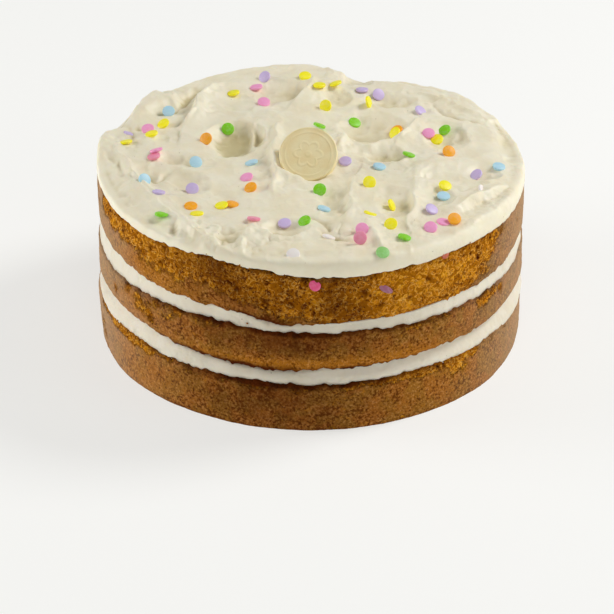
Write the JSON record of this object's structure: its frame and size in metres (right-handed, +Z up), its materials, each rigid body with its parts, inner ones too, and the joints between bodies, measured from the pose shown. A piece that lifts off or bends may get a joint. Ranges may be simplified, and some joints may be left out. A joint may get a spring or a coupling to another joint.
{
  "type": "confetti cake",
  "caption": "Round layer cake: golden sponge layers with cream between them, thick swirled pale icing on top with round confetti, and a small chocolate disc leaning in the icing.",
  "frame": {"origin": "centre of the flat base, on the surface the cake stands on", "axes": "+Z up through the layers, -Y towards the front that the chocolate disc faces, +X to the right seen from the front"},
  "size_m": [0.2008, 0.2008, 0.1051],
  "materials": {
    "sponge": "open baked crumb, golden to brown, matte",
    "cream": "smooth whipped cream, soft satin",
    "icing": "spatula-swirled icing, soft satin, ivory",
    "white_chocolate": "moulded white chocolate, waxy satin, warm ivory"
  },
  "bodies": {
    "root": {"sponge_bottom": "sponge", "filling_lower": "cream", "sponge_middle": "sponge", "filling_upper": "cream", "sponge_top": "sponge", "icing_top": "icing", "chocolate_disc": "white_chocolate"}
  },
  "joints": []
}
